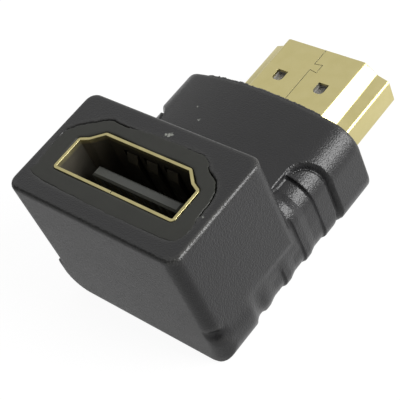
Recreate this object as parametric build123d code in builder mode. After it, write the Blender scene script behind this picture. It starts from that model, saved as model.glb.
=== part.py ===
"""Right-angle video adapter: a wide 19-contact port that opens upwards, joined inside one
soft overmould to a 19-contact plug that leaves level.

Frame, in millimetres: x = 0 is the plane of symmetry, y = 0 is the middle of the port,
z = 0 is the flat underside. +Y is the way the plug points, +Z is the way the port opens.
"""

import os
from math import sqrt

from build123d import *

os.makedirs("parts", exist_ok=True)

# Upright block round the port
block_wall = 1.38
block_depth = 11.96
body_height = 15.46
block_corner_radius = 1.1
block_rim_round = 0.4

# Lower body with its crowned top, from the block's foot to the plug flange
base_margin = 0.12
base_height = 9.9
crown_radius = 33.5
base_shoulder_radius = 3.0
base_foot_radius = 2.4
flange_end = 15.9
flange_thickness = 4.2
flange_end_bevel = 0.15

# Foot of the block, a little wider than the block, with a slope that meets its side
foot_length = 4.68
foot_height = 4.1
foot_slope = 0.6
foot_corner_round = 0.4

# Grip recess between foot and flange, with its ribs
recess_depth = 0.6
flange_shoulder = 0.95
flange_lip = 0.2
foot_shoulder = 0.5
shelf_margin = 2.6
recess_corner_round = 1.75
skirt_height = 5.2
skirt_slope = 1.9
rib_height = 0.35
rib_count = 4
rib_pitch = 3.0
rib_setback = 2.6
rib_crest = 0.75
rib_slope = 0.85
first_rib_crest = 1.8
first_rib_slope = 0.55

# Folded metal shells
sheet = 0.3
port_end_gap = 2.15
port_taper = 2.2
port_height = 5.2
port_shoulder = 1.05
port_step_inset = 1.0
port_step_y = 1.5
port_bend = 0.4
port_board_gap = 0.71
plug_end_gap = 1.75
plug_taper = 2.33
plug_height = 4.45
plug_shoulder = 0.42
plug_step_inset = 1.28
plug_step_z = 0.93
plug_bend = 0.4
plug_axis_height = 4.0
plug_reach = 9.16
plug_shell_root = 4.0
plug_lead_in = 0.12

# Latch windows of the plug, the seam of its fold and the key that locks the seam
window_spacing = 5.0
window_width = 1.2
window_length = 1.3
window_setback = 4.55
window_corner = 0.45
window_pocket = 0.35
seam_gap = 0.06
key_neck = 0.7
key_head = 1.0
key_length = 0.85
key_setback = 2.45

# Spring fingers pressed out of the port shell
finger_width = 1.3
finger_length = 5.2
finger_slot = 0.3
finger_press = 0.35
finger_knee_drop = 1.2
finger_setback = 1.1
wide_finger_count = 2
wide_finger_spacing = 6.4
narrow_finger_count = 3
narrow_finger_spacing = 2.45
finger_relief = 0.5

# Contacts
pitch = 1.0
front_count = 10
back_count = 9
contact_width = 0.4
port_contact_thickness = 0.2
plug_contact_thickness = 0.3
contact_bend = 0.12
port_contact_setback = 0.4
port_contact_foot = 1.1
plug_contact_setback = 0.9
plug_contact_hump = 0.2
plug_contact_lap = 1.3
plug_hump_length = 5.6

# Insulators
tongue_edge = 0.5
tongue_thickness = 1.05
tongue_offset = 0.15
tongue_setback = 2.0
tongue_tip_chamfer = 0.18
port_floor_thickness = 1.6
plug_insulator_setback = 0.6
slot_side_gap = 0.1

# Small circuit board between the two rows of tails
board_thickness = 1.0
board_side_margin = 0.55
board_front_margin = 3.6
board_nose = 1.3
board_chamber_gap = 0.85

# Inner moulding round the board and the backs of both connectors
inner_wall = 1.55
inner_side_wall = 1.1
inner_floor = 1.2
inner_roof = 7.6
inner_front_cover = 1.83
inner_nose = 2.5
witness_groove = 0.1

# Widths that follow from the row of contacts, from the tongue outwards
tongue_width = (front_count - 1) * pitch + contact_width + 2 * tongue_edge
port_wide = tongue_width + 2 * port_end_gap
port_narrow = port_wide - 2 * port_taper
port_step_x = port_wide / 2 - port_step_inset
plug_wide = tongue_width + 2 * plug_end_gap
plug_narrow = plug_wide - 2 * plug_taper
plug_step_x = plug_wide / 2 - plug_step_inset
board_width = port_wide - 2 * board_side_margin
inner_width = board_width + 2 * inner_side_wall
block_width = port_wide + 2 * inner_wall + 2 * block_wall
base_width = block_width + 2 * base_margin
shelf_width = base_width - 2 * shelf_margin

# Places that follow from the sizes above
front_face = -block_depth / 2
back_face = block_depth / 2
flange_face = flange_end - flange_thickness
foot_back = front_face + foot_length
recess_length = flange_face - foot_back
plug_tip = flange_end + plug_reach
plug_root = flange_end - plug_shell_root
inner_end = flange_end - inner_nose
inner_front = front_face + inner_front_cover
slot_middle = plug_axis_height - tongue_offset
board_top = slot_middle + board_thickness / 2
board_bottom = slot_middle - board_thickness / 2
board_front_edge = plug_root + board_nose
port_back = board_top + port_board_gap
port_shell_depth = body_height - port_back
slot_height = board_thickness + 2 * plug_contact_thickness
tongue_top = body_height - tongue_setback
tongue_front = -tongue_offset - tongue_thickness / 2
tongue_back = -tongue_offset + tongue_thickness / 2


def section(y, z=0.0):
    """Plane across the plug's length at y, with its local y upwards from the height z."""
    return Plane(origin=(0, y, z), x_dir=(-1, 0, 0), z_dir=(0, 1, 0))


def base_outline(y, inset=0.0):
    """Crowned section of the lower body at y; an inset narrows its sides and its top."""
    half = base_width / 2 - inset
    top = base_height - inset
    radius = crown_radius - inset
    edge = top - radius + sqrt(radius**2 - half**2)
    with BuildSketch(section(y)) as outline:
        with BuildLine():
            ThreePointArc((-half, edge), (0, top), (half, edge))
            Polyline((half, edge), (half, 0), (-half, 0), (-half, edge))
        make_face()
        fillet(outline.vertices().group_by(Axis.Y)[-1], base_shoulder_radius - inset)
        fillet(outline.vertices().group_by(Axis.Y)[0], base_foot_radius - inset / 2)
    return outline.sketch


def shell_outline(plane, wide, narrow, height, shoulder, step, bend, inset):
    """Outline of a connector shell: a wide side below, two steps, and a narrow side above."""
    with BuildSketch(plane) as outline:
        with BuildLine():
            Polyline(
                (wide / 2, -height / 2),
                (wide / 2, shoulder),
                step,
                (narrow / 2, height / 2),
                (-narrow / 2, height / 2),
                (-step[0], step[1]),
                (-wide / 2, shoulder),
                (-wide / 2, -height / 2),
                close=True,
            )
        make_face()
        fillet(outline.vertices(), bend)
        if inset:
            offset(amount=-inset, kind=Kind.INTERSECTION, mode=Mode.REPLACE)
    return outline.sketch


def port_outline(z, inset=0.0):
    """Outline of the port shell at z; a negative inset grows it."""
    step = (port_step_x, port_step_y)
    return shell_outline(
        Plane.XY.offset(z),
        port_wide, port_narrow, port_height, port_shoulder, step, port_bend, inset,
    )


def plug_outline(y, inset=0.0):
    """Outline of the plug shell at y, about the plug's own axis."""
    step = (plug_step_x, plug_step_z)
    return shell_outline(
        section(y, plug_axis_height),
        plug_wide, plug_narrow, plug_height, plug_shoulder, step, plug_bend, inset,
    )


def row(count, spacing):
    """Places across the width of count like things, left to right."""
    return [(index - (count - 1) / 2) * spacing for index in range(count)]


# Spring fingers of the port: the free end is near the mouth, the root is low in the shell
finger_top = body_height - finger_setback
finger_bottom = finger_top - finger_length
finger_middle = (finger_top + finger_bottom) / 2
finger_window = finger_width + 2 * finger_slot
fingers = [(x, -1) for x in row(wide_finger_count, wide_finger_spacing)]
fingers += [(x, 1) for x in row(narrow_finger_count, narrow_finger_spacing)]

# Port shell: folded sheet with a seam on its wide side and its spring fingers
with BuildPart() as port_shell:
    extrude(port_outline(port_back), amount=port_shell_depth)
    extrude(port_outline(port_back, sheet), amount=port_shell_depth, mode=Mode.SUBTRACT)
    for x, side in fingers:
        wall = side * port_height / 2
        inner = wall - side * sheet
        press = -side * finger_press
        with Locations((x, wall, finger_middle)):
            Box(finger_window, 3 * sheet, finger_length, mode=Mode.SUBTRACT)
        with BuildSketch(Plane.YZ.offset(x)):
            with BuildLine():
                Polyline(
                    (wall, finger_bottom),
                    (wall + press, finger_top - finger_knee_drop),
                    (wall, finger_top - finger_slot),
                    (inner, finger_top - finger_slot),
                    (inner + press, finger_top - finger_knee_drop),
                    (inner, finger_bottom),
                    close=True,
                )
            make_face()
        extrude(amount=finger_width / 2, both=True)
    with Locations((0, -port_height / 2, port_back + port_shell_depth / 2)):
        Box(seam_gap, 3 * sheet, port_shell_depth, mode=Mode.SUBTRACT)
port_shell.part.label = "port_shell"
export_step(port_shell.part, "parts/port_shell.step")


def port_contact(x, face, towards):
    """Strip let into the tongue at x, with a foot on the board; towards is -1 or +1 in y."""
    inside = face - towards * port_contact_thickness
    foot_end = face + towards * port_contact_foot
    with BuildPart() as contact:
        with BuildSketch(Plane.YZ.offset(x)):
            with BuildLine():
                Polyline(
                    (face, tongue_top - port_contact_setback),
                    (face, board_top + port_contact_thickness),
                    (foot_end, board_top + port_contact_thickness),
                    (foot_end, board_top),
                    (inside, board_top),
                    (inside, tongue_top - port_contact_setback),
                    close=True,
                )
            make_face()
            fillet(vertices().sort_by_distance((inside, board_top))[0], contact_bend)
        extrude(amount=contact_width / 2, both=True)
    return contact


port_contacts = [port_contact(x, tongue_front, -1) for x in row(front_count, pitch)]
port_contacts += [port_contact(x, tongue_back, 1) for x in row(back_count, pitch)]
for index, contact in enumerate(port_contacts):
    name = f"port_contact_{index + 1:02d}"
    contact.part.label = name
    export_step(contact.part, f"parts/{name}.step")

# Port insulator: a floor that fills the shell and a tongue that stands up inside it
with BuildPart() as port_insulator:
    extrude(port_outline(port_back, sheet), amount=port_floor_thickness)
    with BuildSketch(Plane.XY.offset(port_back)):
        with Locations((0, -tongue_offset)):
            Rectangle(tongue_width, tongue_thickness)
    extrude(amount=tongue_top - port_back)
    chamfer(faces().sort_by(Axis.Z)[-1].edges(), tongue_tip_chamfer)
    for contact in port_contacts:
        add(contact.part, mode=Mode.SUBTRACT)
port_insulator.part.label = "port_insulator"
export_step(port_insulator.part, "parts/port_insulator.step")


def plug_contact(x, side):
    """Spring strip on the roof (side +1) or floor (side -1) of the plug's slot at x."""
    wall = slot_middle + side * slot_height / 2
    under = wall - side * plug_contact_thickness
    tail = board_front_edge - plug_contact_lap
    end = plug_tip - plug_insulator_setback - plug_contact_setback
    peak = end - plug_hump_length / 4
    start = end - plug_hump_length
    dip = -side * plug_contact_hump
    with BuildPart() as contact:
        with BuildSketch(Plane.YZ.offset(x)):
            with BuildLine():
                Polyline(
                    (tail, wall),
                    (start, wall),
                    (peak, wall + dip),
                    (end, wall),
                    (end, under),
                    (peak, under + dip),
                    (start, under),
                    (tail, under),
                    close=True,
                )
            make_face()
        extrude(amount=contact_width / 2, both=True)
    return contact


plug_contacts = [plug_contact(x, 1) for x in row(front_count, pitch)]
plug_contacts += [plug_contact(x, -1) for x in row(back_count, pitch)]
for index, contact in enumerate(plug_contacts):
    name = f"plug_contact_{index + 1:02d}"
    contact.part.label = name
    export_step(contact.part, f"parts/{name}.step")

# Circuit board: wide under the port, with a nose that enters the back of the plug
with BuildPart() as link_board:
    with BuildSketch(Plane.XY.offset(board_bottom)):
        with BuildLine():
            Polyline(
                (-board_width / 2, -board_front_margin),
                (board_width / 2, -board_front_margin),
                (board_width / 2, plug_root),
                (tongue_width / 2, plug_root),
                (tongue_width / 2, board_front_edge),
                (-tongue_width / 2, board_front_edge),
                (-tongue_width / 2, plug_root),
                (-board_width / 2, plug_root),
                close=True,
            )
        make_face()
    extrude(amount=board_thickness)
link_board.part.label = "link_board"
export_step(link_board.part, "parts/link_board.step")

# Plug shell: folded sheet with four latch windows and a keyed seam on its narrow side
window_y = plug_tip - window_setback
with BuildPart() as plug_shell:
    extrude(plug_outline(plug_root), amount=plug_tip - plug_root)
    chamfer(plug_shell.faces().sort_by(Axis.Y)[-1].edges(), plug_lead_in)
    extrude(plug_outline(plug_root, sheet), amount=plug_tip - plug_root, mode=Mode.SUBTRACT)
    with BuildSketch(Plane.XY.offset(plug_axis_height - plug_height)) as windows:
        for x in (-window_spacing / 2, window_spacing / 2):
            with Locations((x, window_y)):
                Rectangle(window_width, window_length)
        fillet(windows.vertices().group_by(Axis.Y)[0], window_corner)
    extrude(amount=2 * plug_height, mode=Mode.SUBTRACT)
    roof = plug_axis_height + plug_height / 2
    key_start = plug_tip - key_setback
    with BuildSketch(Plane.XY.offset(roof - 2 * sheet)):
        with BuildLine():
            Polyline(
                (seam_gap / 2, plug_tip + sheet),
                (seam_gap / 2, key_start + key_neck / 2 + seam_gap),
                (key_length + seam_gap, key_start + key_head / 2 + seam_gap),
                (key_length + seam_gap, key_start - key_head / 2 - seam_gap),
                (seam_gap / 2, key_start - key_neck / 2 - seam_gap),
                (seam_gap / 2, plug_root - sheet),
                (-seam_gap / 2, plug_root - sheet),
                (-seam_gap / 2, key_start - key_neck / 2),
                (key_length, key_start - key_head / 2),
                (key_length, key_start + key_head / 2),
                (-seam_gap / 2, key_start + key_neck / 2),
                (-seam_gap / 2, plug_tip + sheet),
                close=True,
            )
        make_face()
    extrude(amount=3 * sheet, mode=Mode.SUBTRACT)
plug_shell.part.label = "plug_shell"
export_step(plug_shell.part, "parts/plug_shell.step")


# Plug insulator: fills the shell, open along the slot, with a pocket under each window
with BuildPart() as plug_insulator:
    insulator_length = plug_tip - plug_insulator_setback - plug_root
    extrude(plug_outline(plug_root, sheet), amount=insulator_length)
    slot_width = tongue_width + 2 * slot_side_gap
    with Locations((0, plug_root + insulator_length / 2, slot_middle)):
        Box(slot_width, insulator_length, slot_height, mode=Mode.SUBTRACT)
    inner_half = plug_height / 2 - sheet
    for x in (-window_spacing / 2, window_spacing / 2):
        for side in (-1, 1):
            floor = plug_axis_height + side * (inner_half - window_pocket / 2)
            with Locations((x, window_y, floor)):
                Box(window_width, window_length, window_pocket, mode=Mode.SUBTRACT)
plug_insulator.part.label = "plug_insulator"
export_step(plug_insulator.part, "parts/plug_insulator.step")


def inner_mass():
    """Outside of the inner moulding: a low box round the board and a column round the port."""
    with BuildPart() as mass:
        length = inner_end - inner_front
        with Locations((0, inner_front + length / 2, (inner_floor + inner_roof) / 2)):
            Box(inner_width, length, inner_roof - inner_floor)
        column = port_outline(inner_floor, -inner_wall)
        extrude(column, amount=body_height - inner_floor)
    return mass.part


# Inner moulding: grips both shells and the board's long edges
with BuildPart() as inner_mould:
    add(inner_mass())
    chamfer(inner_mould.faces().sort_by(Axis.Z)[-1].edges(), witness_groove)
    extrude(port_outline(port_back), amount=port_shell_depth, mode=Mode.SUBTRACT)
    extrude(plug_outline(plug_root), amount=inner_nose + plug_shell_root, mode=Mode.SUBTRACT)
    chamber_length = plug_root + board_front_margin
    chamber_low = board_bottom - board_chamber_gap
    with Locations((0, plug_root - chamber_length / 2, (chamber_low + port_back) / 2)):
        Box(board_width, chamber_length, port_back - chamber_low, mode=Mode.SUBTRACT)
    for x, side in fingers:
        with Locations((x, side * (port_height + finger_relief) / 2, finger_middle)):
            Box(finger_window, finger_relief, finger_length, mode=Mode.SUBTRACT)
inner_mould.part.label = "inner_mould"
export_step(inner_mould.part, "parts/inner_mould.step")


def side_wedges(y, length, height, slope, inner, outer):
    """Pair of wedges that slope a side wall in from outer to inner over the given height."""
    with BuildPart() as wedges:
        with BuildSketch(section(y)):
            with BuildLine():
                Polyline(
                    (outer, height - slope),
                    (outer + slope, height - slope),
                    (outer + slope, height),
                    (inner, height),
                    close=True,
                )
            make_face()
            mirror(about=Plane.YZ)
        extrude(amount=length)
    return wedges.part


def rib(front, crest, slope):
    """Grip rib across the whole section: a steep front, a flat crest and a long back slope."""
    back = front + crest
    top = base_outline(back, recess_depth - rib_height).face()
    floor = base_outline(back + slope, recess_depth).face()
    with BuildPart() as band:
        extrude(base_outline(front, recess_depth - rib_height), amount=crest)
        loft([top, floor], ruled=True)
    return band.part


def shoulder(start, end):
    """Sloped end of the recess, from its floor at start to the full section at end."""
    floor = base_outline(start, recess_depth).face()
    full = base_outline(end).face()
    with BuildPart() as slope:
        loft([floor, full], ruled=True)
    return slope.part


# Overmould: block, foot, grip and plug flange in one soft moulding
with BuildPart() as overmould:
    # Recess floor, then the full sections at its two ends and their sloped shoulders
    extrude(base_outline(foot_back, recess_depth), amount=recess_length)
    extrude(base_outline(flange_face), amount=flange_thickness)
    chamfer(overmould.faces().sort_by(Axis.Y)[-1].edges(), flange_end_bevel)
    add(shoulder(flange_face - flange_shoulder, flange_face))
    add(shoulder(foot_back + foot_shoulder, foot_back))
    first_rib = flange_face - rib_setback
    add(rib(first_rib, first_rib_crest, first_rib_slope))
    for index in range(1, rib_count):
        add(rib(first_rib - index * rib_pitch, rib_crest, rib_slope))
    # Smooth top between block and flange, which the recess leaves standing: narrow in plan,
    # and wide again in an arc where it meets the low lip along the flange
    lip_face = flange_face - flange_lip
    with BuildPart(mode=Mode.PRIVATE) as shelf:
        extrude(base_outline(foot_back), amount=recess_length)
        with BuildSketch(Plane.XY.offset(base_height / 2)) as plan:
            with Locations((0, foot_back + recess_length / 2)):
                Rectangle(shelf_width, recess_length)
            with Locations((0, (lip_face + flange_end) / 2)):
                Rectangle(2 * base_width, flange_end - lip_face)
            inner_corners = [v for v in plan.vertices() if abs(v.X) < shelf_width]
            inner_corners = [v for v in inner_corners if abs(v.Y - lip_face) < sheet]
            fillet(inner_corners, recess_corner_round)
        extrude(amount=base_height, mode=Mode.INTERSECT)
    add(shelf.part)
    # Foot of the block, rounded all round its front
    with BuildPart(mode=Mode.PRIVATE) as foot:
        extrude(base_outline(front_face), amount=foot_length)
        fillet(foot.faces().sort_by(Axis.Y)[0].edges(), foot_corner_round)
        with Locations((0, front_face + foot_length / 2, foot_height / 2)):
            Box(base_width, foot_length, foot_height, mode=Mode.INTERSECT)
        ledge = side_wedges(
            front_face, foot_length, foot_height, foot_slope, block_width / 2, base_width / 2
        )
        add(ledge, mode=Mode.SUBTRACT)
    add(foot.part)
    # Upright block; behind the foot its sides slope in to meet the recess
    with BuildPart(mode=Mode.PRIVATE) as block:
        low = skirt_height - skirt_slope
        with BuildSketch(Plane.XY.offset(low)):
            RectangleRounded(block_width, block_depth, block_corner_radius)
        extrude(amount=body_height - low)
        fillet(block.faces().sort_by(Axis.Z)[-1].edges(), block_rim_round)
        with BuildSketch(section(foot_back)):
            with BuildLine():
                Polyline(
                    (block_width / 2, skirt_height),
                    (block_width, skirt_height),
                    (block_width, low),
                    (base_width / 2 - recess_depth, low),
                    close=True,
                )
            make_face()
            mirror(about=Plane.YZ)
        extrude(amount=block_depth, mode=Mode.SUBTRACT)
    add(block.part)
    # Hollow for the inner moulding, and the mouth that the plug shell passes through
    add(inner_mass(), mode=Mode.SUBTRACT)
    extrude(plug_outline(inner_end), amount=inner_nose, mode=Mode.SUBTRACT)
overmould.part.label = "overmould"
export_step(overmould.part, "parts/overmould.step")
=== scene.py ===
"""Looks of a right-angle video adapter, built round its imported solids.

Lengths are written in millimetres and turned to metres where a mesh is made. The frame is
the part's own: x = 0 is the plane of symmetry, y = 0 the middle of the port, z = 0 the
underside; +Y is the way the plug points and +Z the way the port opens.
"""

import math

import bmesh
import bpy
import numpy as np
from mathutils import Matrix, Vector


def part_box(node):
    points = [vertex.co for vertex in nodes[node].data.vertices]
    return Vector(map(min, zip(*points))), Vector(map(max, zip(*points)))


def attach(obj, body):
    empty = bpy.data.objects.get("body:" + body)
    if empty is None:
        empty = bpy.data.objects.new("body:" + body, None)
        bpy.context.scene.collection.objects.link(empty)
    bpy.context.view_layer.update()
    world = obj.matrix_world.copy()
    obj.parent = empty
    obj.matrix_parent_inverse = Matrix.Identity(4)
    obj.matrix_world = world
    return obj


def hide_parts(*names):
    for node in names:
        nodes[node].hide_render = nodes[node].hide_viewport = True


MM = 0.001

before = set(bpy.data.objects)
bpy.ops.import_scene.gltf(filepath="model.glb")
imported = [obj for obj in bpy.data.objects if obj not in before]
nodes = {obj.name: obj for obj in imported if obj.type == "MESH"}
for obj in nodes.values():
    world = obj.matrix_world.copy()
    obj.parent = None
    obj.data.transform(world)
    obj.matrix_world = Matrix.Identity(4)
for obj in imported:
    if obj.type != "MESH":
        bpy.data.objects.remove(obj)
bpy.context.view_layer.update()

# Camera
CAMERA_PLACE = (68.19, -34.27, 86.03)
CAMERA_RIGHT = (0.7258, 0.6081, -0.3215)
CAMERA_UP = (-0.3215, 0.7131, 0.6230)
CAMERA_LOOK = (-0.6081, 0.3488, -0.7131)
SENSOR = 36.0
LENS = 111.05
CLIP_NEAR = 1.0
CLIP_FAR = 5000.0


def make_camera():
    """A camera whose right, up and backward axes are the columns of its matrix."""
    data = bpy.data.cameras.new("photo_view")
    data.lens = LENS
    data.sensor_width = SENSOR
    data.clip_start = CLIP_NEAR * MM
    data.clip_end = CLIP_FAR * MM
    camera = bpy.data.objects.new("photo_view", data)
    bpy.context.scene.collection.objects.link(camera)
    back = -Vector(CAMERA_LOOK)
    turn = Matrix((CAMERA_RIGHT, CAMERA_UP, back)).transposed().normalized()
    camera.matrix_world = Matrix.Translation(Vector(CAMERA_PLACE) * MM) @ turn.to_4x4()
    bpy.context.scene.camera = camera


make_camera()
scene = bpy.context.scene
scene.view_settings.view_transform = "Standard"


# Shader tools
class Field:
    """A socket whose value varies over a surface; arithmetic on it adds Math nodes."""

    def __init__(self, recipe, socket):
        self.recipe = recipe
        self.socket = socket

    def math(self, operation, *values, clamp=False):
        settings = {"operation": operation, "use_clamp": clamp}
        return self.recipe.add("ShaderNodeMath", settings, dict(enumerate(values)))

    def __add__(self, other):
        return self.math("ADD", self, other)

    def __sub__(self, other):
        return self.math("SUBTRACT", self, other)

    def __rsub__(self, other):
        return self.math("SUBTRACT", other, self)

    def __mul__(self, other):
        return self.math("MULTIPLY", self, other)

    def clamped(self):
        return self.math("ADD", self, 0.0, clamp=True)

    __radd__ = __add__
    __rmul__ = __mul__


class Recipe:
    """The node tree of one material, lamp or world."""

    def __init__(self, tree):
        self.tree = tree
        tree.nodes.clear()

    def add(self, kind, settings=None, values=None, output=0):
        """A node of that kind: its settings first, then the values or links of its sockets."""
        node = self.tree.nodes.new(kind)
        for name, value in (settings or {}).items():
            setattr(node, name, value)
        for name, value in (values or {}).items():
            if isinstance(value, Field):
                self.tree.links.new(value.socket, node.inputs[name])
            else:
                node.inputs[name].default_value = value
        return Field(self, node.outputs[output]) if node.outputs else node

    def place(self):
        """Object coordinates in millimetres."""
        coordinates = self.add("ShaderNodeTexCoord", output="Object")
        return self.add(
            "ShaderNodeVectorMath", {"operation": "SCALE"}, {0: coordinates, "Scale": 1 / MM}
        )

    def noise(self, where, size, detail=2.0, roughness=0.5):
        """Noise whose features are about size millimetres across, from 0 to 1."""
        values = {"Vector": where, "Scale": 1 / size, "Detail": detail, "Roughness": roughness}
        return self.add("ShaderNodeTexNoise", {}, values, "Fac")

    def rise(self, field, low, high):
        """0 below low, 1 above high, and a straight rise between them."""
        values = {"Value": field, "From Min": low, "From Max": high}
        return self.add("ShaderNodeMapRange", {"clamp": True}, values)

    def blend(self, share, first, second):
        """Colour that goes from first to second as share goes from 0 to 1."""
        values = {"Factor": share, 6: first, 7: second}
        return self.add("ShaderNodeMix", {"data_type": "RGBA"}, values, 2)

    def attribute(self, name):
        """A value stored on the piece's own vertices."""
        return self.add("ShaderNodeAttribute", {"attribute_name": name}, {}, "Fac")

    def separate(self, vector, axis):
        """One coordinate, named X, Y or Z, of a vector."""
        return self.add("ShaderNodeSeparateXYZ", {}, {0: vector}, axis)

    def bump(self, height, distance, strength=1.0):
        """Normal tilted by a height field; distance is the height of 1 in millimetres."""
        values = {"Height": height, "Distance": distance * MM, "Strength": strength}
        return self.add("ShaderNodeBump", {}, values)


def grey(level):
    return (level, level, level, 1)


def material(name):
    """A new material and the recipe of its empty node tree."""
    made = bpy.data.materials.new(name)
    made.use_nodes = True
    return made, Recipe(made.node_tree)


def finish_surface(recipe, values):
    """Principled surface with those socket values, joined to the output."""
    surface = recipe.add("ShaderNodeBsdfPrincipled", {}, values)
    recipe.add("ShaderNodeOutputMaterial", {}, {"Surface": surface})


# Materials

# Colours: the two ends of each base tone, and the tones that wear with a painted highlight, dirt,
# painted shade and painted light turn it to
SOFT_TONES = ((0.009, 0.009, 0.0096, 1), (0.015, 0.0147, 0.0154, 1))
# Convex edges and rib crests: paler from wear and from a painted highlight
RUB_AND_HIGHLIGHT_TONE = (0.06, 0.059, 0.055, 1)
# Top edges: palest, from wear and from a painted highlight
EDGE_WEAR_AND_HIGHLIGHT_TONE = (0.105, 0.103, 0.095, 1)
SPECK_TONE = (0.27, 0.28, 0.25, 1)
INNER_TONES = ((0.015, 0.016, 0.012, 1), (0.023, 0.0235, 0.018, 1))
GOLD_TONES = ((0.63, 0.555, 0.245, 1), (0.73, 0.65, 0.33, 1))
# Deep walls of the port: painted shade, gold darkened nearly to black
PAINTED_SHADE_GOLD = (0.15, 0.137, 0.11, 1)
INSULATOR_TONES = ((0.052, 0.055, 0.049, 1), (0.080, 0.083, 0.075, 1))
# Core seen through the plug's windows: painted light, pale grey
PAINTED_LIGHT_CORE_TONE = (0.34, 0.33, 0.31, 1)
CONTACT_TONES = ((0.26, 0.235, 0.15, 1), (0.46, 0.41, 0.27, 1))
BOARD_TONES = ((0.010, 0.10, 0.035, 1), (0.016, 0.14, 0.05, 1))
# Raw cut edge in the seams, darkened as painted shade of the narrow gap
SHADED_CUT_TONES = ((0.11, 0.105, 0.08, 1), (0.16, 0.15, 0.11, 1))
# Pale specks of dirt on the soft moulding: place and reach
SPECKS = (
    ((0.85, 4.86, 15.44), 0.13),
    ((0.67, 4.67, 15.44), 0.17),
    ((0.36, 4.6, 15.44), 0.1),
    ((9.4, -1.01, 15.44), 0.08),
    ((-4.68, 11.86, 9.57), 0.02),
    ((-3.31, 10.54, 9.73), 0.11),
)


def specks(recipe, place, waver):
    """1 on the specks and 0 elsewhere, with edges that the waver makes uneven."""
    nearest = None
    for middle, reach in SPECKS:
        away = recipe.add(
            "ShaderNodeVectorMath", {"operation": "DISTANCE"}, {0: place, 1: middle}, "Value"
        ) - reach
        nearest = away if nearest is None else nearest.math("MINIMUM", nearest, away)
    return 1 - recipe.rise(nearest + 0.5 * waver, 0.22, 0.32)


def black_rubbery_plastic():
    """Overmould: near-black with a fine eroded grain, paler on convex ribs and edges for wear and
    as a painted highlight, palest on its top edges, again for wear and as a painted highlight, and
    on a few specks."""
    made, r = material("overmould_plastic")
    p = r.place()
    grain = r.noise(p, 0.13, 3.0, 0.65)
    cloud = r.noise(p, 2.4, 3.0)
    # Paler on convex edges and rib crests: partly wear, partly a painted highlight
    rubbed_and_lit = r.attribute("rubbed_and_lit")
    grit = r.rise(grain, 0.42, 0.6)
    pale = (rubbed_and_lit * (0.2 + 0.8 * grit)).clamped()
    # Top edges painted paler: partly wear, partly a painted highlight where the edge catches the
    # light
    worn_and_lit = (r.attribute("worn_and_lit") * r.rise(r.noise(p, 0.3, 3.0, 0.7), 0.32, 0.55)).clamped()
    tone = r.blend(cloud, *SOFT_TONES)
    tone = r.blend(pale, tone, RUB_AND_HIGHLIGHT_TONE)
    tone = r.blend(worn_and_lit, tone, EDGE_WEAR_AND_HIGHLIGHT_TONE)
    tone = r.blend(specks(r, p, r.noise(p, 0.2, 2.0)), tone, SPECK_TONE)
    height = r.noise(p, 0.14, 1.5, 0.4)
    finish_surface(
        r,
        {
            "Base Color": tone,
            "Roughness": 0.27 + 0.12 * grain + 0.06 * cloud,
            "IOR": 1.52,
            "Normal": r.bump(height, 0.042),
        },
    )
    return made


def inner_plastic():
    """Inner moulding: harder and smoother than the overmould, with a faint green cast."""
    made, r = material("inner_moulding_plastic")
    p = r.place()
    grain = r.noise(p, 0.3, 3.0, 0.6)
    cloud = r.noise(p, 1.6, 2.0)
    tone = r.blend(cloud, *INNER_TONES)
    finish_surface(
        r,
        {
            "Base Color": tone,
            "Roughness": 0.44 + 0.14 * grain,
            "IOR": 1.5,
            "Normal": r.bump(grain, 0.008, 0.5),
        },
    )
    return made


def gold_plating(name, shade_below, unshaded_above):
    """Thin gold over nickel: brushed along the fold and mottled; below the first of the two
    heights it is rougher and painted in shade nearly to black, and from the second height up it
    keeps its full tone and roughness."""
    made, r = material(name)
    p = r.place()
    stretched = r.add("ShaderNodeMapping", {}, {"Vector": p, "Scale": (1.0, 0.18, 1.0)})
    brush = r.noise(stretched, 0.06, 3.0, 0.6)
    cloud = r.noise(p, 1.3, 3.0)
    tone = r.blend(cloud, *GOLD_TONES)
    # Painted shade: deeper in the port the gold is painted darker, nearly to black, and it is
    # rougher there
    clean_and_unshaded = r.rise(r.separate(p, "Z") + 0.3 * cloud, shade_below, unshaded_above)
    tone = r.blend(clean_and_unshaded, PAINTED_SHADE_GOLD, tone)
    finish_surface(
        r,
        {
            "Base Color": tone,
            "Metallic": 1.0,
            "Roughness": 0.24 + 0.10 * cloud + 0.06 * brush + 0.2 * (1 - clean_and_unshaded),
            "Normal": r.bump(brush, 0.002, 0.5),
        },
    )
    return made


# Stretch of the plug's core that shows through the windows, along the plug's way, painted pale
# grey as painted light
CORE_FROM = (17.0, 18.0)
CORE_TO = (23.2, 23.6)


def insulator_plastic():
    """Black glass-filled plastic of the tongue and the plug's core; where the core shows through
    the plug's windows it is painted pale grey as painted light."""
    made, r = material("insulator_plastic")
    p = r.place()
    grain = r.noise(p, 0.2, 3.0)
    streak = r.add("ShaderNodeMapping", {}, {"Vector": p, "Scale": (2.2, 2.2, 0.3)})
    flow = r.noise(streak, 0.5, 2.0)
    tone = r.blend(flow, *INSULATOR_TONES)
    along = r.separate(p, "Y")
    # Painted light: the core is painted pale grey where it shows through the windows
    under = r.rise(along, *CORE_FROM) * (1 - r.rise(along, *CORE_TO))
    tone = r.blend(under, tone, PAINTED_LIGHT_CORE_TONE)
    finish_surface(
        r,
        {
            "Base Color": tone,
            "Roughness": 0.32 + 0.16 * grain,
            "IOR": 1.5,
            "Normal": r.bump(grain, 0.006, 0.5),
        },
    )
    return made


def contact_metal():
    """Plated strip of a contact, dulled in patches."""
    made, r = material("contact_plating")
    p = r.place()
    cloud = r.noise(p, 0.5, 3.0)
    tone = r.blend(cloud, *CONTACT_TONES)
    finish_surface(r, {"Base Color": tone, "Metallic": 1.0, "Roughness": 0.25 + 0.2 * cloud})
    return made


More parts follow.
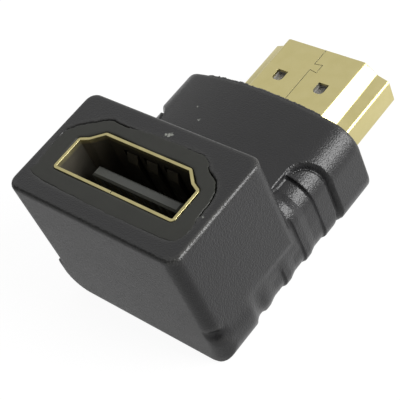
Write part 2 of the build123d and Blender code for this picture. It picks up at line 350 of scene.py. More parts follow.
def board_laminate():
    """Green circuit board with a faint glass weave under its lacquer."""
    made, r = material("board_laminate")
    p = r.place()
    weave = r.add(
        "ShaderNodeTexWave", {"wave_type": "BANDS"}, {"Vector": p, "Scale": 2.0}, "Fac"
    )
    cloud = r.noise(p, 1.0, 2.0)
    tone = r.blend(cloud, *BOARD_TONES)
    finish_surface(
        r,
        {
            "Base Color": tone,
            "Roughness": 0.3 + 0.1 * weave,
            "Normal": r.bump(weave, 0.004, 0.4),
        },
    )
    return made


# Mesh tools
def link_piece(name, mesh, look):
    """Object at the origin that holds the mesh, rides on the one body and has its finish."""
    piece = bpy.data.objects.new(name, mesh)
    scene.collection.objects.link(piece)
    mesh.materials.clear()
    mesh.materials.append(look)
    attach(piece, "root")
    return piece


def grid_faces(rows, columns):
    """Four-sided faces of a grid of rows closed into rings of columns points each."""
    row, column = np.meshgrid(np.arange(rows - 1), np.arange(columns), indexing="ij")
    after = (column + 1) % columns
    corners = [
        row * columns + column,
        row * columns + after,
        (row + 1) * columns + after,
        (row + 1) * columns + column,
    ]
    return np.stack(corners, axis=-1).reshape(-1, 4)


def surface_mesh(name, points, faces):
    """Mesh from points in millimetres and an array of faces."""
    mesh = bpy.data.meshes.new(name)
    mesh.from_pydata((points * MM).tolist(), [], faces.tolist())
    mesh.shade_smooth()
    return mesh


# Corners nearer than this are one corner
MERGE_REACH = 0.001


def merged_copy(node, flat_angle=0.0):
    """Copy of a CAD node's mesh with its loose triangles joined at their corners, and where
    flat_angle is given, with the lines inside its flat faces taken out."""
    mesh = nodes[node].data.copy()
    work = bmesh.new()
    work.from_mesh(mesh)
    bmesh.ops.remove_doubles(work, verts=work.verts, dist=MERGE_REACH * MM)
    if flat_angle:
        bmesh.ops.dissolve_limit(
            work, angle_limit=math.radians(flat_angle), verts=work.verts, edges=work.edges
        )
    work.to_mesh(mesh)
    work.free()
    return mesh


def coordinates(mesh):
    """Vertex coordinates as an array in millimetres."""
    flat = np.empty(len(mesh.vertices) * 3, np.float32)
    mesh.vertices.foreach_get("co", flat)
    return flat.reshape(-1, 3).astype(float) / MM


def set_coordinates(mesh, points):
    """Moves the vertices to points in millimetres."""
    mesh.vertices.foreach_set("co", (points * MM).astype(np.float32).ravel())
    mesh.update()


def rounded_outline(corners, radius, steps=8):
    """Closed outline of straight sides joined by arcs: at each corner the arc's middle lies on
    the bisector, one radius from both sides, and it turns from one side's normal to the next."""
    corners = np.array(corners, float)
    before = corners - np.roll(corners, 1, axis=0)
    after = np.roll(corners, -1, axis=0) - corners
    before /= np.linalg.norm(before, axis=1, keepdims=True)
    after /= np.linalg.norm(after, axis=1, keepdims=True)
    turn = np.cross(before, after)
    bend = np.sign(turn)[:, None]
    half = np.arccos(np.clip((before * after).sum(1), -1, 1)) / 2
    inward = after - before
    inward /= np.linalg.norm(inward, axis=1, keepdims=True)
    middle = corners + inward * (radius / np.cos(half))[:, None]
    normal = np.stack([before[:, 1], -before[:, 0]], axis=1) * bend
    start = np.arctan2(normal[:, 1], normal[:, 0])
    sweep = 2 * half * bend[:, 0]
    angle = start[:, None] + sweep[:, None] * np.linspace(0, 1, steps)
    arc = np.stack([np.cos(angle), np.sin(angle)], axis=-1) * radius
    return (middle[:, None, :] + arc).reshape(-1, 2)


def resampled(outline, count):
    """Closed outline as count points at equal steps along its length."""
    closed = np.vstack([outline, outline[:1]])
    steps = np.linalg.norm(np.diff(closed, axis=0), axis=1)
    along = np.concatenate([[0], np.cumsum(steps)])
    places = np.linspace(0, along[-1], count, endpoint=False)
    return np.stack([np.interp(places, along, closed[:, k]) for k in (0, 1)], axis=1)


def smooth_loop(points, per_span=12):
    """Closed Catmull-Rom curve through the points: each span is the cubic whose slope at an
    end is half the step between that end's two neighbours."""
    p = np.array(points, float)
    p0, p1, p2, p3 = np.roll(p, 1, 0), p, np.roll(p, -1, 0), np.roll(p, -2, 0)
    t = np.linspace(0, 1, per_span, endpoint=False)[:, None, None]
    curve = 0.5 * (
        2 * p1
        + (p2 - p0) * t
        + (2 * p0 - 5 * p1 + 4 * p2 - p3) * t**2
        + (3 * p1 - p0 - 3 * p2 + p3) * t**3
    )
    return curve.transpose(1, 0, 2).reshape(-1, 2)


def at_same_angles(outline, towards):
    """Points of an outline round the origin, one on the ray through each point of towards."""
    angle = np.arctan2(outline[:, 1], outline[:, 0])
    reach = np.hypot(outline[:, 0], outline[:, 1])
    order = np.argsort(angle)
    wanted = np.arctan2(towards[:, 1], towards[:, 0])
    length = np.interp(wanted, angle[order], reach[order], period=2 * math.pi)
    return np.stack([np.cos(wanted), np.sin(wanted)], axis=1) * length[:, None]


# Inner moulding
PORT_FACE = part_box("port_shell")[1].z / MM
PORT_CORNERS = (
    (7.35, -2.6),
    (7.35, 1.05),
    (6.35, 1.5),
    (5.15, 2.6),
    (-5.15, 2.6),
    (-6.35, 1.5),
    (-7.35, 1.05),
    (-7.35, -2.6),
)
PORT_BEND = 0.4
# Edge of the inner moulding on the port face, where the two mouldings meet unevenly
WITNESS = (
    (8.85, -3.3),
    (9.0, -1.2),
    (8.85, 0.9),
    (8.5, 1.8),
    (7.8, 2.5),
    (6.8, 3.0),
    (5.93, 3.68),
    (5.02, 4.05),
    (3.63, 4.05),
    (0.0, 3.98),
    (-3.66, 3.88),
    (-5.64, 3.95),
    (-6.83, 3.42),
    (-8.41, 2.31),
    (-8.95, 1.76),
    (-9.36, 1.08),
    (-9.23, -0.97),
    (-8.85, -2.69),
    (-8.3, -3.9),
    (0.0, -4.1),
    (7.6, -4.05),
)
WITNESS_WAVER = 0.035
# Share by which the seam gapes, by the angle round the port's middle in degrees
SEAM_ANGLES = (-14, -6, 22, 30, 60, 120, 133, 150, 168, 180, 192, 270)
SEAM_OPEN = (0.0, 0.8, 1.0, 0.35, 0.06, 0.1, 0.8, 1.0, 1.0, 0.6, 0.12, 0.0)
POCKET_DEPTH = 0.6
COLLAR_POINTS = 900
# Width of the open seam, the lap over the soft moulding where it is shut, and how far the soft
# moulding stays below the port's face
GAP = 0.11
LAP = 0.22
SKIN_DROP = 0.02
# Rings of the collar: where each lies between the shell's wall and the uneven edge, and how far
# it is below the face where the seam is shut and where it gapes
COLLAR_INSET = 0.15
COLLAR_SHARE = (0, 0, 0.12, 0.15, 0.2, 0.35, 0.5, 0.65, 0.8, 0.9, 0.96, 0.985, 1.0, 1.0)
FLUSH_DROP = (0.6, 0.06, 0.05, 0.01, 0.005, 0.005, 0.005, 0.005, 0.005, 0.006, 0.01, 0.015,
              0.03, 0.1)
GAPING_DROP = (0.6, 0.35, 0.3, 0.06, 0.01, 0.008, 0.008, 0.008, 0.01, 0.012, 0.02, 0.05, 0.12,
               0.6)


def witness_outline(grow=0.0):
    """Uneven outline of the inner moulding, as a smooth loop plus a small waver that is the
    sum of three sines of the place along it; grow moves it outwards."""
    loop = resampled(smooth_loop(WITNESS), COLLAR_POINTS)
    along = np.linspace(0, 2 * math.pi, len(loop), endpoint=False)
    waver = np.sin(17 * along) + 0.7 * np.sin(41 * along + 1.0) + 0.5 * np.sin(89 * along + 2.0)
    out = loop / np.linalg.norm(loop, axis=1, keepdims=True)
    return loop + out * (grow + WITNESS_WAVER * waver)[:, None]


def seam_opening(points):
    """Share from 0 to 1 by which the seam gapes at points round the port."""
    angle = np.degrees(np.arctan2(points[:, 1], points[:, 0]))
    return np.interp(angle, SEAM_ANGLES, SEAM_OPEN, period=360)


def make_inner_moulding(look):
    """CAD solid with its top let down, and a collar round the port: rings that go from inside
    the shell's wall across the face to the uneven edge. Where the seam gapes they turn down
    into it, and elsewhere they lap a little over the soft moulding."""
    mesh = merged_copy("inner_mould")
    points = coordinates(mesh)
    top = points[:, 2] > PORT_FACE - POCKET_DEPTH / 2
    points[top, 2] -= POCKET_DEPTH
    set_coordinates(mesh, points)
    body = link_piece("inner_moulding", mesh, look)
    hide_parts("inner_mould")

    port = resampled(rounded_outline(PORT_CORNERS, PORT_BEND), COLLAR_POINTS)
    within = port * (1 - COLLAR_INSET / np.linalg.norm(port, axis=1, keepdims=True))
    opening = seam_opening(port)
    lap = at_same_angles(witness_outline(), port)
    out = lap / np.linalg.norm(lap, axis=1, keepdims=True)
    edge = lap + out * (LAP * (1 - opening) - GAP * opening)[:, None]
    share, flush, gaping = np.array([COLLAR_SHARE, FLUSH_DROP, GAPING_DROP])
    drop = flush[:, None] + (gaping - flush)[:, None] * opening
    flat = within + (edge - within) * share[:, None, None]
    rings = np.concatenate([flat, PORT_FACE - drop[:, :, None]], axis=-1).reshape(-1, 3)
    collar = surface_mesh("port_collar", rings, grid_faces(len(share), COLLAR_POINTS)[:, ::-1])
    link_piece("port_collar", collar, look)


# Overmould

# Size of the skin's even mesh, and the share of one smoothing step that it gets all over
VOXEL = 0.2
FINE_SHARE = 0.35
# Prisms that fill the moulding's hollow before it is remeshed. The chamber and the nose follow
# the inner moulding's box, narrower by FILL_INSET a side and longer by FILL_LAP an end; the
# mouth and the plate under the pocket are half width, lowest y and highest y
FILL_INSET = 0.5
FILL_LAP = 0.2
CHAMBER_TOP = 4.7
NOSE_START = 3.3
NOSE_TOP = 7.9
MOUTH = (7.3, 12.5, 15.3)
MOUTH_HEIGHTS = (1.4, 6.6)
PLATE = (9.6, -4.7, 4.7)
PLATE_LIFT = 0.05
# Boxes of |x|, y and z: where the mesh is divided once more, where it keeps the pocket's shape,
# and where the foot's slope is smoothed
GRIP_BOX = ((7.0, 1.5, 0.8), (20, 12.6, 10.5))
POCKET_BOX = ((-1, -4.85, 3), (9.75, 4.85, 20))
SLOPE_BOXES = (((9.3, -4.2, 1), (20, 2.3, 7)), ((9.3, 2, 3.4), (20, 5, 7)))
SLOPE_SHARE = 0.8
SLOPE_ROUNDS = 12
# Bend at which an edge starts to be painted paler, for wear and as a painted highlight, how much
# more makes it fully pale, and the rounds over which the bend is averaged
PALE_EDGE_START = 0.02
PALE_EDGE_SPAN = 0.08
PALE_EDGE_ROUNDS = 4
# Section of the plug end, as in the part: crown, sides, the shoulders between them and the foot
CROWN_RADIUS = 33.5
CROWN_TOP = 9.9
HALF_WIDTH = 10.4
SHOULDER_RADIUS = 3.0
FOOT_RADIUS = 2.4
SHOULDER_X = HALF_WIDTH - SHOULDER_RADIUS
CROWN_MIDDLE = CROWN_TOP - CROWN_RADIUS
SHOULDER_Z = CROWN_MIDDLE + math.sqrt((CROWN_RADIUS - SHOULDER_RADIUS) ** 2 - SHOULDER_X**2)
# Ribs of the grip: the box of |x|, y and z and the depth below the section that hold them, how
# deep their crests are, and how much of the hollows between them is lifted at each height
RIB_BOX = ((8.5, -2.8, -1), (20, 10.3, 20))
RIB_REACH = 0.8
RIB_DEPTH = 0.25
RIB_HEIGHTS = (1.2, 2.4, 4.0, 6.0, 8.0)
RIB_LIFT = (0.2, 0.5, 0.7, 0.55, 0.0)
# Dark groove between the flange and the first rib: its plan is an arc and then a straight line,
# its profile is places inwards from its edge with the depth at each, and it widens low down
GROOVE_MIDDLE = (10.2, 9.1)
GROOVE_RADIUS = 2.53
GROOVE_PROFILE = ((0.0, 0.0), (0.38, 0.6), (0.46, 0.6), (0.6, 0.25))
GROOVE_LOW = (1.0, 3.0)
GROOVE_STRETCH = (1.7, 1.0)
# How far outside the groove's edge and how deep the points lie that it moves, how far in front
# of its middle it starts, and from which half width on it is cut, above the foot and on its arc
GROOVE_PAST = 0.35
GROOVE_REACH = 1.2
GROOVE_START = 0.35
GROOVE_FROM_X = 7.7
GROOVE_FOOT_X = HALF_WIDTH - FOOT_RADIUS + 0.1
# Front right corner: its radius in plan by height, and the dent in it
CORNER_HEIGHTS = (0.0, 1.2, 3.2)
CORNER_RADII = (2.7, 2.1, 1.5)
DENT = (9.95, -5.55, 4.75)
DENT_REACH = (0.8, 0.8, 0.5)
DENT_DEPTH = 0.5
# Top edges of the block painted paler, for wear and as a painted highlight: the line of each, the
# width of the pale band, and the places along it where it starts, is full, is still full and ends
RIGHT_EDGE = 10.2
RIGHT_WIDTH = 0.16
RIGHT_ALONG = (-5.3, -4.7, 0.0, 2.5)
BACK_EDGE = 5.9
BACK_WIDTH = 0.14
BACK_ALONG = (-8.5, -6.5, 9.0, 10.0)
BACK_STRENGTH = 0.45


def prism(name, outline, low, high):
    """Closed prism of an outline round the origin: two flat ends and one band of sides."""
    count = len(outline)
    heights = np.repeat([low, high], count)[:, None]
    sides = np.hstack([np.vstack([outline, outline]), heights])
    faces = grid_faces(2, count).tolist()
    faces += [list(range(count))[::-1], list(range(count, 2 * count))]
    mesh = bpy.data.meshes.new(name)
    mesh.from_pydata((sides * MM).tolist(), [], faces)
    return mesh


def box_outline(x, y_low, y_high):
    """Rectangle from -x to x and from y_low to y_high."""
    return np.array([(x, y_low), (x, y_high), (-x, y_high), (-x, y_low)])


def joined(name, meshes):
    """One mesh of several, each kept closed."""
    work = bmesh.new()
    for mesh in meshes:
        work.from_mesh(mesh)
    whole = bpy.data.meshes.new(name)
    work.to_mesh(whole)
    work.free()
    return whole


def with_modifiers(mesh, build):
    """The mesh after the modifiers that build adds to a passing object."""
    carrier = bpy.data.objects.new("carrier", mesh)
    scene.collection.objects.link(carrier)
    build(carrier)
    graph = bpy.context.evaluated_depsgraph_get()
    made = bpy.data.meshes.new_from_object(carrier.evaluated_get(graph))
    bpy.data.objects.remove(carrier)
    return made


def neighbour_mean(values, edges):
    """Mean of each vertex's neighbours' values, from the edge list."""
    count = len(values)
    both = np.concatenate([edges, edges[:, ::-1]])
    number = np.bincount(both[:, 0], minlength=count)
    total = [np.bincount(both[:, 0], weights=column[both[:, 1]], minlength=count)
             for column in values.T]
    return np.stack(total, axis=1) / number[:, None]


def edge_list(mesh):
    """The two vertex numbers of each edge."""
    pairs = np.empty(len(mesh.edges) * 2, np.int32)
    mesh.edges.foreach_get("vertices", pairs)
    return pairs.reshape(-1, 2)


def in_box(points, low, high):
    """Which points lie in a box of |x|, y and z."""
    place = points * np.where(points[:, :1] < 0, (-1, 1, 1), 1)
    return ((place > low) & (place < high)).all(axis=1)


def below_section(points):
    """Depth of points below the plug end's section, and the outward direction there: from the
    crown's circle, the flat side, or the circles of the shoulder above and the foot below."""
    side = np.sign(points[:, 0])
    x, z = np.abs(points[:, 0]), points[:, 2]
    crown = np.hypot(x, z - CROWN_MIDDLE)
    corner_x, corner_z = x - SHOULDER_X, z - SHOULDER_Z
    corner = np.hypot(corner_x, corner_z)
    foot_x, foot_z = x - (HALF_WIDTH - FOOT_RADIUS), z - FOOT_RADIUS
    foot = np.maximum(np.hypot(foot_x, foot_z), 0.01)
    lean = SHOULDER_X / (CROWN_RADIUS - SHOULDER_RADIUS)
    shoulder = (corner_z > 0) & (corner_x * math.sqrt(1 - lean**2) > corner_z * lean)
    cases = [foot_z < 0, corner_z <= 0, shoulder]
    depth = np.select(
        cases, [FOOT_RADIUS - foot, HALF_WIDTH - x, SHOULDER_RADIUS - corner], CROWN_RADIUS - crown
    )
    ones = np.ones(len(x))
    out_x = np.select(cases, [foot_x / foot, ones, corner_x / corner], x / crown) * side
    out_z = np.select(cases, [foot_z / foot, 0 * ones, corner_z / corner],
                      (z - CROWN_MIDDLE) / crown)
    return depth, np.stack([out_x, 0 * ones, out_z], axis=1)


def fade_ribs(points):
    """Lifts the hollows between the ribs towards the ribs' crests by the share that holds at
    each height, so that they are shallow half way up the side."""
    depth, outward = below_section(points)
    near = in_box(points, *RIB_BOX) & (depth < RIB_REACH)
    share = np.interp(points[:, 2], RIB_HEIGHTS, RIB_LIFT) * near
    return points + outward * (np.clip(depth - RIB_DEPTH, 0, None) * share)[:, None]


def carve_groove(points):
    """Sets the depth below the section beside the flange: 0 up to the groove's edge, and then
    the profile's depth at each point's distance from that edge, which is an arc in plan."""
    x, y = np.abs(points[:, 0]), points[:, 1]
    middle_x, middle_y = GROOVE_MIDDLE
    off_x, off_y = np.minimum(x - middle_x, 0), y - middle_y
    inside = GROOVE_RADIUS - np.hypot(off_x, off_y)
    inside /= np.where(inside > 0, np.interp(points[:, 2], GROOVE_LOW, GROOVE_STRETCH), 1.0)
    places, depths = np.array(GROOVE_PROFILE).T
    wanted = np.interp(inside, places, depths)
    depth, outward = below_section(points)
    near = (inside > -GROOVE_PAST) & (inside < places[-1])
    near &= (off_y > GROOVE_START) & (depth < GROOVE_REACH)
    near &= x > np.where(points[:, 2] < FOOT_RADIUS, GROOVE_FOOT_X, GROOVE_FROM_X)
    points[near] += outward[near] * (depth - wanted)[near, None]
    return points


def round_front(points):
    """Draws the block's front right corner in to a circle in plan, whose radius grows towards
    the underside, and sinks a dent into it: a bell of DENT_REACH, DENT_DEPTH deep."""
    radius = np.interp(points[:, 2], CORNER_HEIGHTS, CORNER_RADII)
    off_x = points[:, 0] - (HALF_WIDTH - radius)
    off_y = points[:, 1] - (points[:, 1].min() + radius)
    reach = np.hypot(off_x, off_y)
    far = np.linalg.norm((points - DENT) / DENT_REACH, axis=1)
    wanted = np.minimum(reach, radius) - DENT_DEPTH * np.exp(-(far**2))
    corner = (off_x > 0) & (off_y < 0) & (reach > radius / 2)
    change = np.where(corner, wanted / np.maximum(reach, 0.1) - 1, 0.0)
    points[:, 0] += off_x * change
    points[:, 1] += off_y * change
    return points


def edge_wear_and_highlight(points):
    """How pale the block's top edges are painted, for wear and as a painted highlight: a bell
    across the distance from each edge's line, over the stretch that is painted pale."""
    x, y, z = points.T
    right = np.hypot(x - RIGHT_EDGE, z - PORT_FACE) / RIGHT_WIDTH
    back = np.hypot(y - BACK_EDGE, z - PORT_FACE) / BACK_WIDTH
    on_right = np.interp(y, RIGHT_ALONG, (0, 1, 1, 0))
    on_back = np.interp(x, BACK_ALONG, (0, 1, 1, 0)) * BACK_STRENGTH
    return np.exp(-(right**2)) * on_right + np.exp(-(back**2)) * on_back


def refined(mesh, chosen):
    """The mesh with the faces of the chosen edges divided once more."""
    mesh.edges.foreach_set("select", chosen)
    work = bmesh.new()
    work.from_mesh(mesh)
    edges = [edge for edge in work.edges if edge.select]
    bmesh.ops.subdivide_edges(work, edges=edges, cuts=1, use_grid_fill=True)
    work.to_mesh(mesh)
    work.free()
    return mesh


def make_overmould(look):
    """The soft moulding's skin: the CAD solid with its hollow filled and the inner moulding's
    pocket cut, remeshed evenly, drawn back onto the solid, carved and smoothed a little. Its
    vertices carry how pale their convex bends and their top edges are painted, for wear and as a
    painted highlight."""
    inner_low, inner_high = (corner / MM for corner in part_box("inner_mould"))
    wide, front, back = inner_high.x - FILL_INSET, inner_low.y - FILL_LAP, inner_high.y + FILL_LAP
    fillers = [
        prism("chamber", box_outline(wide, front, back), inner_low.z - FILL_LAP, CHAMBER_TOP),
        prism("nose", box_outline(wide, NOSE_START, back), inner_low.z - FILL_LAP / 2, NOSE_TOP),
        prism("mouth", box_outline(*MOUTH), *MOUTH_HEIGHTS),
    ]
    pocket_floor = PORT_FACE - POCKET_DEPTH
    pocket = bpy.data.objects.new(
        "pocket", prism("pocket", witness_outline(), pocket_floor, PORT_FACE + 1)
    )
    scene.collection.objects.link(pocket)
    plate = prism("plate", box_outline(*PLATE), pocket_floor + PLATE_LIFT, PORT_FACE)

    def cut(carrier):
        cutter = carrier.modifiers.new("pocket", "BOOLEAN")
        cutter.operation = "DIFFERENCE"
        cutter.solver = "EXACT"
        cutter.object = pocket

    def even(carrier):
        remesh = carrier.modifiers.new("even", "REMESH")
        remesh.mode = "VOXEL"
        remesh.voxel_size = VOXEL * MM
        remesh.adaptivity = 0.0

    solid = bpy.data.objects.new("solid", merged_copy("overmould"))
    scene.collection.objects.link(solid)

    def draw_back(carrier):
        wrap = carrier.modifiers.new("wrap", "SHRINKWRAP")
        wrap.wrap_method = "NEAREST_SURFACEPOINT"
        wrap.target = solid

    cut_pieces = [with_modifiers(piece, cut) for piece in (merged_copy("overmould"), plate)]
    bpy.data.objects.remove(pocket)
    mesh = with_modifiers(joined("overmould_skin", cut_pieces + fillers), even)
    edge_middles = coordinates(mesh)[edge_list(mesh)].mean(axis=1)
    mesh = refined(mesh, in_box(edge_middles, *GRIP_BOX))
    points = coordinates(mesh)
    wrapped = coordinates(with_modifiers(mesh.copy(), draw_back))
    bpy.data.objects.remove(solid)
    kept = in_box(points, *POCKET_BOX) | (np.linalg.norm(wrapped - points, axis=1) > VOXEL)
    points = np.where(kept[:, None], points, wrapped)
    points = round_front(carve_groove(fade_ribs(points)))
    edges = edge_list(mesh)
    points += FINE_SHARE * (neighbour_mean(points, edges) - points)
    slope = SLOPE_SHARE * np.any([in_box(points, *box) for box in SLOPE_BOXES], axis=0)[:, None]
    for _ in range(SLOPE_ROUNDS):
        points += slope * (neighbour_mean(points, edges) - points)
    points[:, 2] = np.minimum(points[:, 2], PORT_FACE - SKIN_DROP)
    set_coordinates(mesh, points)
    normals = np.empty(len(points) * 3, np.float32)
    mesh.vertices.foreach_get("normal", normals)
    normals = normals.reshape(-1, 3)
    # Convex bend, which paints the skin paler: partly wear, partly a painted highlight on edges
    # and rib crests
    bend = -((neighbour_mean(points, edges) - points) * normals).sum(1)[:, None] / VOXEL
    for _ in range(PALE_EDGE_ROUNDS):
        bend = neighbour_mean(bend, edges)
    rubbed_and_lit = np.clip((bend[:, 0] - PALE_EDGE_START) / PALE_EDGE_SPAN, 0, 1)
    for name, values in (("rubbed_and_lit", rubbed_and_lit), ("worn_and_lit", edge_wear_and_highlight(points))):
        store = mesh.attributes.new(name, "FLOAT", "POINT")
        store.data.foreach_set("value", values.astype(np.float32))
    mesh.shade_smooth()
    mesh.name = "overmould_skin"
    skin = link_piece("overmould_skin", mesh, look)
    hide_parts("overmould")


# Shells and the rest

# Width of the bevel on the open end's edges and on all others, and how near to the end they lie
END_ROUND = 0.1
LONG_ROUND = 0.02
END_REACH = 0.01
# Degrees below which faces are one flat face, and above which the edge between two is sharp
FLAT_ANGLE = 0.5
SHARP_ANGLE = 35
# A face stands across the sheet if less than this share of its normal is along the thin axis
ACROSS = 0.3


def shaded_cut_metal():
    """Raw edge of the sheet inside its seam, dull and brown, and darkened further as painted shade
    of the narrow seam.
    """
    made, r = material("shaded_cut_metal")
    cloud = r.noise(r.place(), 0.3, 2.0)
    tone = r.blend(cloud, *SHADED_CUT_TONES)
    finish_surface(r, {"Base Color": tone, "Roughness": 0.6 + 0.1 * cloud})
    return made


def make_shell(node, name, look, raw_and_shaded, axis, seam_at):
    """CAD shell with its cut edges rounded by a bevel, widest at the open end; the faces that
    stand across the sheet inside the seam get the cut edge's look, which is also painted shade of
    the narrow seam. axis is the shell's own direction, and seam_at holds the middle and the half
    size of the seam's box and the axis along which the sheet is thin there."""
    mesh = merged_copy(node, FLAT_ANGLE)
    piece = link_piece(name, mesh, look)
    mesh.materials.append(raw_and_shaded)
    points = coordinates(mesh)
    ends = points[edge_list(mesh)][:, :, axis] > points[:, axis].max() - END_REACH
    weight = np.where(ends.all(axis=1), 1.0, LONG_ROUND / END_ROUND).astype(np.float32)
    mesh.attributes.new("bevel_weight_edge", "FLOAT", "EDGE").data.foreach_set("value", weight)
    count = len(mesh.polygons)
    middle, normal = np.empty(count * 3, np.float32), np.empty(count * 3, np.float32)
    mesh.polygons.foreach_get("center", middle)
    mesh.polygons.foreach_get("normal", normal)
    off = np.abs(middle.reshape(-1, 3) / MM - seam_at[0]) - seam_at[1]
    across = np.abs(normal.reshape(-1, 3)[:, seam_at[2]]) < ACROSS
    inside = (off < 0).all(axis=1) & across
    mesh.polygons.foreach_set("material_index", inside.astype(np.int32))
    bevel = piece.modifiers.new("edge", "BEVEL")
    bevel.width = END_ROUND * MM
    bevel.segments = 2
    bevel.limit_method = "WEIGHT"
    bevel.harden_normals = True
    mesh.shade_smooth()
    mesh.set_sharp_from_angle(angle=math.radians(SHARP_ANGLE))
    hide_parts(node)


# Flash: its points across the flange, how many of them share a coarse wave, and the random seed
FLASH_COUNT = 260
FLASH_STEP = 5
FLASH_SEED = 7
# Least and further reach of the flash, and the level from which its raggedness shows
FLASH_LEAST = 0.03
FLASH_REACH = 0.2
FLASH_LEVEL = 0.55
# Share of the reach at places across the flange
FLASH_PLACES = (-6.6, -5, 2, 6.8)
FLASH_SHARES = (0.3, 1, 0.7, 0.3)
# Rows of the flash: offset from the flange's end, share of the reach, and drop from the crown
FLASH_ROWS = ((-0.3, 0, 0.05), (-0.12, 0, 0.02), (0, 1, 0.1), (0, 0.5, 0.3), (-0.1, 0, 0.45))


def make_flash(look):
    """Ragged fin left by the mould along the top of the flange's end: its reach over the plug
    changes from point to point, and its height follows the crown's circle."""
    count = FLASH_COUNT
    x = np.linspace(FLASH_PLACES[0], FLASH_PLACES[-1], count)
    random = np.random.default_rng(FLASH_SEED)
    coarse_places = np.arange(0, count, FLASH_STEP)
    coarse = np.interp(np.arange(count), coarse_places, random.random(len(coarse_places)))
    ragged = coarse + 0.5 * random.random(count) - FLASH_LEVEL
    reach = FLASH_LEAST + FLASH_REACH * np.clip(ragged, 0, 1)
    reach *= np.interp(x, FLASH_PLACES, FLASH_SHARES)
    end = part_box("overmould")[1].y / MM
    crown = CROWN_MIDDLE + np.sqrt(CROWN_RADIUS**2 - x**2)
    rows = [
        np.stack([x, end + offset + share * reach, crown - drop], axis=1)
        for offset, share, drop in FLASH_ROWS
    ]
    faces = grid_faces(len(rows), count).reshape(len(rows) - 1, count, 4)[:, :-1]
    mesh = surface_mesh("flange_flash", np.concatenate(rows), faces.reshape(-1, 4))
    link_piece("flange_flash", mesh, look)


def dress(names, look):
    """Gives CAD nodes a material in place of their plain colour."""
    for name in names:
        mesh = nodes[name].data
        mesh.materials.clear()
        mesh.materials.append(look)


soft_plastic = black_rubbery_plastic()
make_overmould(soft_plastic)
make_flash(soft_plastic)
make_inner_moulding(inner_plastic())
# The port's gold is painted in shade deeper in the port, where it is also rougher, and keeps its
# full tone only near its rim; the plug's keeps it everywhere
port_gold = gold_plating("port_gold", PORT_FACE - 0.45, PORT_FACE + 0.33)
plug_gold = gold_plating("plug_gold", -1.0, 0.0)
# Seam faces get a dull brown raw edge that is also painted shade of the narrow seam
shaded_raw_edge = shaded_cut_metal()
# Seams: the middle and the half size of each box, and the axis along which the sheet is thin
port_seam = ((0, -2.5, 10), (0.4, 0.3, 5.2), 1)
plug_seam = ((0, 20, 6.1), (2.2, 4.9, 0.25), 2)
make_shell("port_shell", "port_shell_folded", port_gold, shaded_raw_edge, 2, port_seam)
make_shell("plug_shell", "plug_shell_folded", plug_gold, shaded_raw_edge, 1, plug_seam)
insulator = insulator_plastic()
dress(["port_insulator", "plug_insulator"], insulator)
dress([name for name in nodes if "_contact_" in name], contact_metal())
dress(["link_board"], board_laminate())


# Stage and light

# Floor: half its size, its paper's grey, and the glow that the camera sees with its share
FLOOR_HALF = 1500.0
PAPER = 0.8
GLOW = 1.1
GLOW_SHARE = 0.85


def make_floor():
    """Wide pale floor: to the camera it is white but for the object's soft shadow. Mirrored
    rays pass it, so that reflections show the studio's own shades."""
    size = FLOOR_HALF
    corners = np.array([(-size, -size, 0), (size, -size, 0), (size, size, 0), (-size, size, 0)])
    mesh = surface_mesh("floor", corners, np.array([[0, 1, 2, 3]]))
    floor = bpy.data.objects.new("floor", mesh)
    floor.visible_glossy = False
    scene.collection.objects.link(floor)
    made, r = material("floor_paper")
    camera = r.add("ShaderNodeLightPath", {}, {}, "Is Camera Ray")
    paper = r.add("ShaderNodeBsdfDiffuse", {}, {"Color": grey(PAPER)})
    glow = r.add("ShaderNodeEmission", {}, {"Color": grey(1.0), "Strength": GLOW})
    mixed = r.add("ShaderNodeMixShader", {}, {0: GLOW_SHARE * camera, 1: paper, 2: glow})
    r.add("ShaderNodeOutputMaterial", {}, {"Surface": mixed})
    mesh.materials.append(made)


# Way in which the studio is darker, because the photographer stands there, the cosines of the
# angle to it at which the shade starts and is full, and the level that is left
DARK_WAY = (0.30, -0.954, 0.0)
DARK_RISE = (-0.25, 0.1)
DARK_LEVEL = 0.47
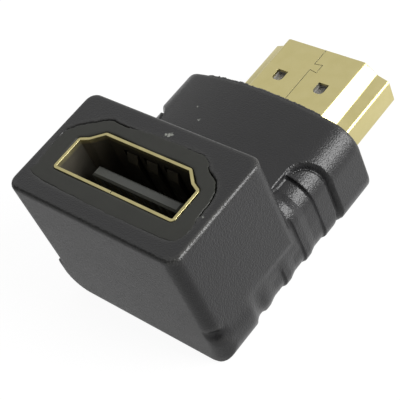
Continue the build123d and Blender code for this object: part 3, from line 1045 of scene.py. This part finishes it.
# Sines of the heights between which the bright table gives way to the dim room, the room's
# level, and the level that all else gets as soft light
TABLE_RISE = (-0.1, 0.22)
ROOM_LEVEL = 0.18
SOFT_LEVEL = 0.12


def make_world():
    """White where the camera looks past the floor, faint for soft light, and in reflections a
    bright table below the horizon, a dim room above it, and dark round DARK_WAY."""
    world = bpy.data.worlds.new("studio")
    scene.world = world
    world.use_nodes = True
    r = Recipe(world.node_tree)
    camera = r.add("ShaderNodeLightPath", {}, {}, "Is Camera Ray")
    glossy = r.add("ShaderNodeLightPath", {}, {}, "Is Glossy Ray")
    way = r.add("ShaderNodeTexCoord", output="Generated")
    towards = r.add(
        "ShaderNodeVectorMath", {"operation": "DOT_PRODUCT"}, {0: way, 1: DARK_WAY}, "Value"
    )
    table = 1 - r.rise(r.separate(way, "Z"), *TABLE_RISE)
    open_way = 1 - r.rise(towards, *DARK_RISE)
    mirrored = DARK_LEVEL + (1 - DARK_LEVEL) * open_way
    mirrored = mirrored * (ROOM_LEVEL + (1 - ROOM_LEVEL) * table)
    level = camera + SOFT_LEVEL * (1 - camera - glossy) + glossy * mirrored
    sky = r.add("ShaderNodeBackground", {}, {"Color": level, "Strength": 1.0})
    r.add("ShaderNodeOutputWorld", {}, {"Surface": sky})


# Point that the lamps face
LIT_POINT = (0, 8, 6)


def make_lamp(name, towards, distance, size, radiance):
    """Square soft lamp that stands in the given direction and faces the object; its power is
    its radiance times pi times its area."""
    data = bpy.data.lights.new(name, "AREA")
    data.shape = "SQUARE"
    data.size = size * MM
    data.energy = radiance * math.pi * (size * MM) ** 2
    lamp = bpy.data.objects.new(name, data)
    scene.collection.objects.link(lamp)
    direction = Vector(towards).normalized()
    target = Vector(LIT_POINT) * MM
    lamp.location = target + direction * distance * MM
    lamp.rotation_euler = (-direction).to_track_quat("-Z", "Y").to_euler()


make_floor()
make_world()
make_lamp(
    "overhead_sheet", towards=(-0.35, 0.42, 0.84), distance=450, size=900, radiance=0.57
)
make_lamp("window_right", towards=(0.83, 0.35, 0.43), distance=420, size=260, radiance=11.0)
